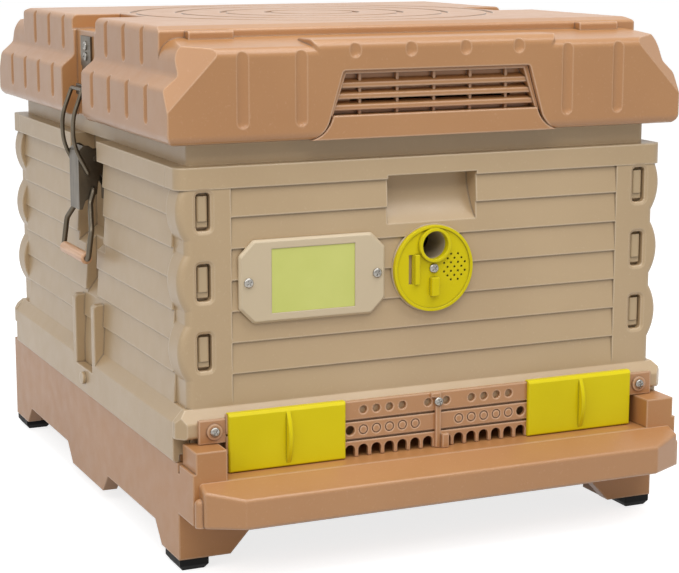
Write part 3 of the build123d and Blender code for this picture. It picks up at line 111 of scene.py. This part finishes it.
# pale is the tone of the specks and the colour of the painted highlight on edges
plastic = {
    "terracotta": {"colour": (0.44, 0.215, 0.083), "shade": (0.405, 0.192, 0.072),
                   "pale": (0.78, 0.53, 0.36), "rough": (0.28, 0.34), "grain": 1500.0, "bump": 0.04,
                   "gloss": 0.6, "edge": 0.0022, "ridge": 0.0015},
    "base": {"colour": (0.45, 0.215, 0.080), "shade": (0.415, 0.192, 0.069),
             "pale": (0.72, 0.47, 0.30), "rough": (0.34, 0.42), "grain": 1500.0, "bump": 0.04,
             "gloss": 0.42, "edge": 0.0022, "ridge": 0.0015},
    "beige": {"colour": (0.488, 0.350, 0.202), "shade": (0.453, 0.321, 0.182),
              "pale": (0.72, 0.59, 0.42), "rough": (0.33, 0.40), "grain": 1500.0, "bump": 0.04,
              "gloss": 0.55, "edge": 0.0018, "ridge": 0.0015},
    "tag": {"colour": (0.60, 0.485, 0.325), "shade": (0.57, 0.458, 0.303),
            "pale": (0.66, 0.56, 0.42), "rough": (0.34, 0.44), "grain": 1500.0, "bump": 0.05,
            "gloss": 0.5, "edge": 0.0014},
    "liner": {"colour": (0.50, 0.42, 0.30), "shade": (0.46, 0.38, 0.27),
              "pale": (0.60, 0.52, 0.40), "rough": (0.40, 0.52), "grain": 1100.0, "bump": 0.04,
              "gloss": 0.42, "edge": 0.001},
    "yellow": {"colour": (0.72, 0.605, 0.008), "shade": (0.66, 0.545, 0.005),
               "pale": (0.80, 0.71, 0.06), "rough": (0.28, 0.36), "grain": 1700.0, "bump": 0.03,
               "gloss": 0.12, "edge": 0.001},
    "clip": {"colour": (0.50, 0.37, 0.22), "shade": (0.455, 0.335, 0.195),
             "pale": (0.60, 0.48, 0.32), "rough": (0.36, 0.46), "grain": 1500.0, "bump": 0.05,
             "gloss": 0.5, "edge": 0.0008},
    "comb_plastic": {"colour": (0.022, 0.021, 0.020), "shade": (0.014, 0.014, 0.013),
                     "pale": (0.06, 0.06, 0.058), "rough": (0.38, 0.5), "grain": 900.0, "bump": 0.06,
                     "gloss": 0.42, "edge": 0.0008},
}
mould = {
    "clouds": (7.0, 4.0), "cloudSpan": (0.35, 0.65),
    "specks": (420.0, 2.0), "speckSpan": (0.62, 0.80), "speckMost": 0.12,
    # edge and ridge values set the painted highlight on convex edges
    "edgeHighlightSpan": (0.86, 0.995), "edgeHighlightMost": 0.55,
    "ridgeHighlightSpan": (0.86, 0.985), "ridgeHighlightMost": 0.42,
    # crease values set the painted shade in the creases of a piece
    "creaseShadeReach": 0.0027, "creaseShadeSpan": (0.45, 0.85), "creaseShadeMost": 0.75, "creaseShadeTone": 0.3,
    "patches": (60.0, 3.0), "patchSpan": (0.3, 0.7),
    "grainDetail": 2.0, "grainDepth": 0.0006,
}


def edgeHighlightMask(tree, rounded):
    # how far the rounded normal turns from the face's own normal; this paints a highlight on sharp edges
    face = tree.nodes.new("ShaderNodeNewGeometry")
    dot = tree.nodes.new("ShaderNodeVectorMath")
    dot.operation = "DOT_PRODUCT"
    tree.links.new(rounded, dot.inputs[0])
    tree.links.new(face.outputs["Normal"], dot.inputs[1])
    return addRange(tree, dot.outputs["Value"], mould["edgeHighlightSpan"], (mould["edgeHighlightMost"], 0.0))


def openSpace(tree, reach, inside):
    # how open a point's own piece leaves the space around it, outside or inside the piece
    near = tree.nodes.new("ShaderNodeAmbientOcclusion")
    near.samples = shading["nearSamples"]
    near.inside = inside
    near.only_local = True
    near.inputs["Distance"].default_value = reach
    return near.outputs["AO"]


def ridgeHighlightMask(tree, reach):
    # how far a point lies out on a rounded ridge of its own piece; this paints a highlight on rounded edges
    within = openSpace(tree, reach, True)
    return addRange(tree, within, mould["ridgeHighlightSpan"], (mould["ridgeHighlightMost"], 0.0))


def creaseShadeMask(tree):
    # how deep a point lies in a crease of its own piece, where painted shade darkens the colour
    around = openSpace(tree, mould["creaseShadeReach"], False)
    return addRange(tree, around, mould["creaseShadeSpan"], (mould["creaseShadeMost"], 0.0))


def mouldedPlastic(name, look):
    material, tree, shader = newMaterial(name)
    clouds = addRange(tree, addNoise(tree, *mould["clouds"]), mould["cloudSpan"])
    specks = addRange(tree, addNoise(tree, *mould["specks"]), mould["speckSpan"], (0.0, mould["speckMost"]))
    rounded = softEdges(tree, look["edge"])
    body = addMix(tree, clouds, look["colour"], look["shade"])
    fine = addMix(tree, specks, body, look["pale"])
    # painted highlight: convex edges are mixed towards the pale colour
    highlightMask = ridgeHighlightMask(tree, look["ridge"]) if "ridge" in look else edgeHighlightMask(tree, rounded)
    wearAndSheen = addMix(tree, highlightMask, fine, look["pale"])
    # painted shade: creases are mixed towards a dark copy of the shade colour
    dark = tuple(channel * mould["creaseShadeTone"] for channel in look["shade"])
    tree.links.new(addMix(tree, creaseShadeMask(tree), wearAndSheen, dark), shader.inputs["Base Color"])
    patches = addNoise(tree, *mould["patches"])
    tree.links.new(addRange(tree, patches, mould["patchSpan"], look["rough"]), shader.inputs["Roughness"])
    grain = addNoise(tree, look["grain"], mould["grainDetail"])
    tree.links.new(addBump(tree, grain, look["bump"], mould["grainDepth"], rounded), shader.inputs["Normal"])
    shader.inputs["Specular IOR Level"].default_value = look["gloss"]
    return material


steel = {
    "steel": {"colour": (0.175, 0.145, 0.106), "dark": (0.105, 0.085, 0.060), "rough": (0.30, 0.46),
              "stretch": (30.0, 900.0, 30.0)},
    "screw_steel": {"colour": (0.40, 0.38, 0.35), "dark": (0.25, 0.235, 0.21), "rough": (0.20, 0.34),
                    "stretch": (900.0, 60.0, 60.0)},
}
brushing = {
    "streaks": (1.0, 3.0), "streakSpan": (0.3, 0.75), "streakMost": 0.35, "roughSpan": (0.3, 0.7),
    "patches": (38.0, 3.0), "patchSpan": (0.35, 0.7),
    "edge": 0.0006, "bump": 0.08, "depth": 0.0003, "metal": 0.92,
}


def brushedSteel(name, look):
    material, tree, shader = newMaterial(name)
    streaks = addNoise(tree, *brushing["streaks"], look["stretch"])
    patches = addRange(tree, addNoise(tree, *brushing["patches"]), brushing["patchSpan"])
    rounded = softEdges(tree, brushing["edge"])
    body = addMix(tree, patches, look["colour"], look["dark"])
    marks = addRange(tree, streaks, brushing["streakSpan"], (0.0, brushing["streakMost"]))
    tree.links.new(addMix(tree, marks, body, look["dark"]), shader.inputs["Base Color"])
    tree.links.new(addRange(tree, streaks, brushing["roughSpan"], look["rough"]), shader.inputs["Roughness"])
    brushed = addBump(tree, streaks, brushing["bump"], brushing["depth"], rounded)
    tree.links.new(brushed, shader.inputs["Normal"])
    shader.inputs["Metallic"].default_value = brushing["metal"]
    return material


wood = {
    "rings": (1.0, 5.0), "ringStretch": (420.0, 16.0, 420.0), "ringSpan": (0.32, 0.68),
    "pores": (1.0, 2.0), "poreStretch": (2200.0, 90.0, 2200.0), "poreSpan": (0.58, 0.75), "poreMost": 0.5,
    "pale": (0.74, 0.45, 0.27), "dark": (0.56, 0.30, 0.155), "pore": (0.36, 0.18, 0.09),
    "roughSpan": (0.3, 0.7), "rough": (0.34, 0.46), "edge": 0.0008, "bump": 0.12, "depth": 0.0004,
}


def turnedWood(name):
    material, tree, shader = newMaterial(name)
    rings = addNoise(tree, *wood["rings"], wood["ringStretch"])
    pores = addNoise(tree, *wood["pores"], wood["poreStretch"])
    rounded = softEdges(tree, wood["edge"])
    body = addMix(tree, addRange(tree, rings, wood["ringSpan"]), wood["pale"], wood["dark"])
    marks = addRange(tree, pores, wood["poreSpan"], (0.0, wood["poreMost"]))
    tree.links.new(addMix(tree, marks, body, wood["pore"]), shader.inputs["Base Color"])
    tree.links.new(addRange(tree, rings, wood["roughSpan"], wood["rough"]), shader.inputs["Roughness"])
    tree.links.new(addBump(tree, pores, wood["bump"], wood["depth"], rounded), shader.inputs["Normal"])
    return material


rubber = {
    "scuffs": (90.0, 5.0), "scuffSpan": (0.5, 0.8),
    "colour": (0.004, 0.004, 0.004), "scuff": (0.014, 0.014, 0.013),
    "roughSpan": (0.3, 0.7), "rough": (0.5, 0.68), "edge": 0.001,
    "grain": (1300.0, 2.0), "bump": 0.2, "depth": 0.0006, "gloss": 0.16,
}


def mattRubber(name):
    material, tree, shader = newMaterial(name)
    scuffs = addNoise(tree, *rubber["scuffs"])
    rounded = softEdges(tree, rubber["edge"])
    wearAndSheen = addMix(tree, addRange(tree, scuffs, rubber["scuffSpan"]), rubber["colour"], rubber["scuff"])
    tree.links.new(wearAndSheen, shader.inputs["Base Color"])
    tree.links.new(addRange(tree, scuffs, rubber["roughSpan"], rubber["rough"]), shader.inputs["Roughness"])
    grain = addNoise(tree, *rubber["grain"])
    tree.links.new(addBump(tree, grain, rubber["bump"], rubber["depth"], rounded), shader.inputs["Normal"])
    shader.inputs["Specular IOR Level"].default_value = rubber["gloss"]
    return material


foam = {
    "foam": {"colour": (0.82, 0.81, 0.77), "dark": (0.66, 0.64, 0.60)},
    # dark brown foam behind the vent: painted shade of the vent's inside
    "ventShadeFoam": {"colour": (0.22, 0.10, 0.042), "dark": (0.16, 0.072, 0.030)},
}
beading = {
    "beadScale": 260.0, "gapSpan": (0.2, 0.7), "rough": (0.7, 0.85),
    "edge": 0.001, "bump": 0.3, "depth": 0.002,
}


def rigidFoam(name, look):
    material, tree, shader = newMaterial(name)
    coords = tree.nodes.new("ShaderNodeTexCoord")
    beads = tree.nodes.new("ShaderNodeTexVoronoi")
    beads.inputs["Scale"].default_value = beading["beadScale"]
    tree.links.new(coords.outputs["Object"], beads.inputs["Vector"])
    rounded = softEdges(tree, beading["edge"])
    gaps = addRange(tree, beads.outputs["Distance"], beading["gapSpan"])
    tree.links.new(addMix(tree, gaps, look["colour"], look["dark"]), shader.inputs["Base Color"])
    tree.links.new(addRange(tree, gaps, (0.0, 1.0), beading["rough"]), shader.inputs["Roughness"])
    beaded = addBump(tree, beads.outputs["Distance"], beading["bump"], beading["depth"], rounded)
    tree.links.new(beaded, shader.inputs["Normal"])
    return material


label = {
    "mottle": (30.0, 4.0), "mottleSpan": (0.3, 0.7),
    "colour": (0.60, 0.62, 0.165), "shade": (0.56, 0.585, 0.145), "rough": (0.28, 0.38),
    "edge": 0.0004, "grain": (900.0, 2.0), "bump": 0.03, "depth": 0.0004,
}


def labelSheet(name):
    # one plain yellow-green field
    material, tree, shader = newMaterial(name)
    mottle = addNoise(tree, *label["mottle"])
    field = addMix(tree, addRange(tree, mottle, label["mottleSpan"]), label["colour"], label["shade"])
    tree.links.new(field, shader.inputs["Base Color"])
    tree.links.new(addRange(tree, mottle, label["mottleSpan"], label["rough"]), shader.inputs["Roughness"])
    grain = addNoise(tree, *label["grain"])
    rounded = softEdges(tree, label["edge"])
    tree.links.new(addBump(tree, grain, label["bump"], label["depth"], rounded), shader.inputs["Normal"])
    return material


finishes = {slot: mouldedPlastic(slot, look) for slot, look in plastic.items()}
finishes.update({slot: brushedSteel(slot, look) for slot, look in steel.items()})
finishes["grip_wood"] = turnedWood("grip_wood")
finishes["foot_rubber"] = mattRubber("foot_rubber")
finishes.update({slot: rigidFoam(slot, look) for slot, look in foam.items()})
finishes["label"] = labelSheet("label")

# lid_insulation takes the dark foam that paints the shade behind the vent
ownLook = {"tag_plate": "tag", "lid_insulation": "ventShadeFoam", "stand": "base"}  # nodes unlike their slot
for part in frame["record"]["subparts"]:
    node = frame["nodes"][part["node"]]
    node.data.materials.clear()
    node.data.materials.append(finishes[ownLook.get(part["node"], part["material_slot"])])

# cross-head screws in place of the plain CAD ones
screwLook = {
    "sides": 40, "headR": 0.0042, "headH": 0.0022, "rimShare": 0.45,
    "dome": ((0.0004, 0.0005), (0.0008, 0.00045), (0.0012, 0.00025)),  # inset and rise of each step
    "neckR": 0.0018, "neckL": 0.0099, "neckShares": (0.8, 0.2), "tipTaper": 0.3,
    "crossL": 0.0054, "crossW": 0.0010, "crossD": 0.0011,
    "flat": 0.9, "smoothAngle": 28,
}
facingFront = (math.pi / 2, 0, 0)
facingLeft = (0, -math.pi / 2, 0)
facingRight = (0, math.pi / 2, 0)
screwSets = [
    {"name": "tagScrew", "node": "tag_screws", "body": "brood_body", "turn": facingFront,
     "places": [(-0.1733, -0.248, 0.2471), (-0.0547, -0.248, 0.2471)], "twist": (0.5, 1.1)},
    {"name": "stripScrew", "node": "strip_screws", "body": "brood_body", "turn": facingFront,
     "places": [(0.0, -0.2595, 0.12975), (-0.2085, -0.258, 0.12475), (0.2085, -0.258, 0.12475)],
     "twist": (0.3, 0.9, 0.1)},
    {"name": "discScrew", "node": "disc_screw", "body": "brood_body", "turn": facingFront,
     "places": [(0.0, -0.2477, 0.247)], "twist": (0.7,)},
    {"name": "leftCatchScrew", "node": "catch_screws", "body": "lid", "turn": facingLeft,
     "places": [(-0.230, 0.022, 0.4206), (-0.230, 0.022, 0.4306)], "twist": (0.2, 0.8)},
    {"name": "rightCatchScrew", "node": "catch_screws", "body": "lid", "turn": facingRight,
     "places": [(0.230, 0.022, 0.4206), (0.230, 0.022, 0.4306)], "twist": (0.6, 1.2)},
]


def pickFaces(piece, side):
    # the flat faces that look up (side 1) or down (side -1)
    bpy.ops.object.mode_set(mode="EDIT")
    bpy.ops.mesh.select_mode(type="FACE")
    bpy.ops.mesh.select_all(action="DESELECT")
    bpy.ops.object.mode_set(mode="OBJECT")
    for face in piece.data.polygons:
        face.select = side * face.normal.z > screwLook["flat"]
    bpy.ops.object.mode_set(mode="EDIT")


def cutCross(screw):
    for quarter in (0, math.pi / 2):
        bpy.ops.object.select_all(action="DESELECT")
        bpy.ops.mesh.primitive_cube_add(size=1, location=(0, 0, screwLook["headH"]), rotation=(0, 0, quarter))
        cutter = bpy.context.object
        cutter.scale = (screwLook["crossL"], screwLook["crossW"], 2 * screwLook["crossD"])
        bpy.context.view_layer.objects.active = screw
        cut = screw.modifiers.new("cross", "BOOLEAN")
        cut.object = cutter
        cut.operation = "DIFFERENCE"
        bpy.ops.object.modifier_apply(modifier=cut.name)
        bpy.data.objects.remove(cutter, do_unlink=True)


def addScrew():
    rim = screwLook["headH"] * screwLook["rimShare"]
    bpy.ops.object.select_all(action="DESELECT")
    bpy.ops.mesh.primitive_cylinder_add(vertices=screwLook["sides"], radius=screwLook["headR"], depth=rim,
                                        location=(0, 0, rim / 2))
    screw = bpy.context.object
    bpy.ops.object.transform_apply(location=True, rotation=True, scale=True)
    pickFaces(screw, 1)
    for inset, rise in screwLook["dome"]:
        bpy.ops.mesh.inset(thickness=inset, depth=0)
        bpy.ops.transform.translate(value=(0, 0, rise))
    pickFaces(screw, -1)
    bpy.ops.mesh.inset(thickness=screwLook["headR"] - screwLook["neckR"], depth=0)
    for share in screwLook["neckShares"]:
        drop = (0, 0, -screwLook["neckL"] * share)
        bpy.ops.mesh.extrude_region_move(TRANSFORM_OT_translate={"value": drop})
    bpy.ops.transform.resize(value=(screwLook["tipTaper"], screwLook["tipTaper"], 1))
    bpy.ops.object.mode_set(mode="OBJECT")
    cutCross(screw)
    bpy.ops.object.select_all(action="DESELECT")
    screw.select_set(True)
    bpy.ops.object.shade_smooth_by_angle(angle=math.radians(screwLook["smoothAngle"]))
    screw.data.materials.append(finishes["screw_steel"])
    return screw


pattern = addScrew()
for group in screwSets:
    for number, (place, twist) in enumerate(zip(group["places"], group["twist"]), 1):
        screw = pattern.copy()
        screw.data = pattern.data.copy()
        screw.name = f"{group['name']}{number}"
        bpy.context.collection.objects.link(screw)
        bpy.ops.object.select_all(action="DESELECT")
        screw.select_set(True)
        bpy.context.view_layer.objects.active = screw
        screw.rotation_euler = (0, 0, twist)
        bpy.ops.object.transform_apply(location=False, rotation=True, scale=False)
        screw.rotation_euler = group["turn"]
        screw.location = place
        bpy.ops.object.transform_apply(location=True, rotation=True, scale=True)
        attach(screw, group["body"])
        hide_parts(group["node"])
bpy.data.objects.remove(pattern, do_unlink=True)
print("screws modelled")

# floor, light and camera
studio = {
    "floorSize": 60.0, "floorColour": (0.50, 0.50, 0.50), "floorRough": 0.9, "floorGlow": 0.78,
    "roomLight": 0.44, "roomSeen": 1.0, "white": (1.0, 1.0, 1.0, 1.0),
}
lamps = {
    "keyLamp": {"power": 30.0, "size": (2.2, 2.2), "place": (-2.5, -1.5, 2.2)},
    "frontLamp": {"power": 16.0, "size": (1.4, 0.7), "place": (-0.8, -2.4, 2.2)},
    "edgeLamp": {"power": 11.0, "size": (1.0, 0.6), "place": (1.1, -1.6, 2.4)},
    "topLamp": {"power": 40.0, "size": (1.8, 1.8), "place": (0.1, -0.6, 2.7)},
}
view = {
    "azimuth": -24.0, "elevation": 10.8, "distance": 1.8923, "target": (0.030, 0.022, 0.1814),
    "lens": 98.82, "sensor": 36.0, "far": 200.0,
}


def seenDirectly(tree):
    # 1 where the camera, a reflection or a clear piece looks at the surface
    path = tree.nodes.new("ShaderNodeLightPath")
    either = path.outputs["Is Camera Ray"]
    for name in ("Is Glossy Ray", "Is Transmission Ray"):
        most = tree.nodes.new("ShaderNodeMath")
        most.operation = "MAXIMUM"
        tree.links.new(either, most.inputs[0])
        tree.links.new(path.outputs[name], most.inputs[1])
        either = most.outputs["Value"]
    return either


def addFloor():
    bpy.ops.object.select_all(action="DESELECT")
    bpy.ops.mesh.primitive_plane_add(size=studio["floorSize"], location=(0, 0, 0))
    floor = bpy.context.object
    floor.name = "studioFloor"
    material, tree, shader = newMaterial("paleFloor")
    shader.inputs["Base Color"].default_value = (*studio["floorColour"], 1.0)
    shader.inputs["Roughness"].default_value = studio["floorRough"]
    shader.inputs["Specular IOR Level"].default_value = 0.0
    shader.inputs["Emission Color"].default_value = studio["white"]
    glow = addRange(tree, seenDirectly(tree), (0.0, 1.0), (0.0, studio["floorGlow"]))
    tree.links.new(glow, shader.inputs["Emission Strength"])
    floor.data.materials.append(material)


def addWorld():
    world = bpy.data.worlds.new("paleRoom")
    bpy.context.scene.world = world
    world.use_nodes = True
    tree = world.node_tree
    tree.nodes.clear()
    output = tree.nodes.new("ShaderNodeOutputWorld")
    mixer = tree.nodes.new("ShaderNodeMixShader")
    for place, strength in enumerate((studio["roomLight"], studio["roomSeen"]), 1):
        background = tree.nodes.new("ShaderNodeBackground")
        background.inputs["Color"].default_value = studio["white"]
        background.inputs["Strength"].default_value = strength
        tree.links.new(background.outputs["Background"], mixer.inputs[place])
    tree.links.new(seenDirectly(tree), mixer.inputs["Fac"])
    tree.links.new(mixer.outputs["Shader"], output.inputs["Surface"])


def addLamp(name, look):
    bpy.ops.object.light_add(type="AREA", location=look["place"])
    lamp = bpy.context.object
    lamp.name = name
    lamp.data.energy = look["power"]
    lamp.data.shape = "RECTANGLE"
    lamp.data.size, lamp.data.size_y = look["size"]
    aim = Vector(view["target"]) - Vector(look["place"])
    lamp.rotation_euler = aim.to_track_quat("-Z", "Y").to_euler()


def addCamera():
    azimuth, elevation = math.radians(view["azimuth"]), math.radians(view["elevation"])
    back = Vector((math.sin(azimuth) * math.cos(elevation), -math.cos(azimuth) * math.cos(elevation),
                   math.sin(elevation)))
    bpy.ops.object.camera_add(location=Vector(view["target"]) + back * view["distance"])
    camera = bpy.context.object
    camera.rotation_euler = (-back).to_track_quat("-Z", "Y").to_euler()
    camera.data.sensor_fit = "HORIZONTAL"
    camera.data.sensor_width = view["sensor"]
    camera.data.lens = view["lens"]
    camera.data.clip_end = view["far"]
    bpy.context.scene.camera = camera


addFloor()
addWorld()
for lampName, lampLook in lamps.items():
    addLamp(lampName, lampLook)
addCamera()
bpy.context.scene.view_settings.view_transform = "Standard"
print("studio ready")
